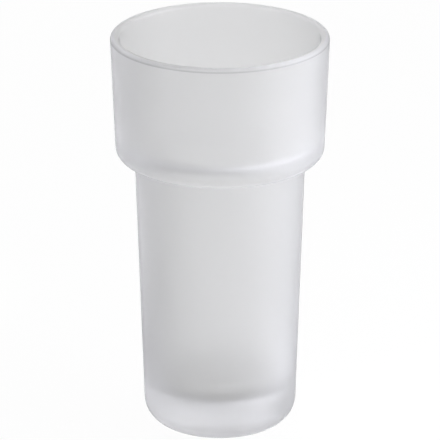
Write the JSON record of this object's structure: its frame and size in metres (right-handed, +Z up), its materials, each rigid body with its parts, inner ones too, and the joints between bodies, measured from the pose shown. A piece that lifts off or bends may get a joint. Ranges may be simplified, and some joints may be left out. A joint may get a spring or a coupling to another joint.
{
  "type": "bathroom tumbler",
  "caption": "Satin-etched glass tumbler: a wide drinking cup steps in at a rounded shoulder to a slim tapered well with a thick base.",
  "frame": {"origin": "centre of the standing face, on the axis of the glass", "axes": "+Z up along the axis, from the base to the rim; the glass is the same all round, so X and Y are any two level directions"},
  "size_m": [0.0639, 0.0638, 0.12],
  "materials": {
    "satin_glass": "clear glass, acid-etched to a fine satin all over, with a fire-polished rim"
  },
  "bodies": {
    "root": {"tumbler_glass": "satin_glass"}
  },
  "joints": []
}
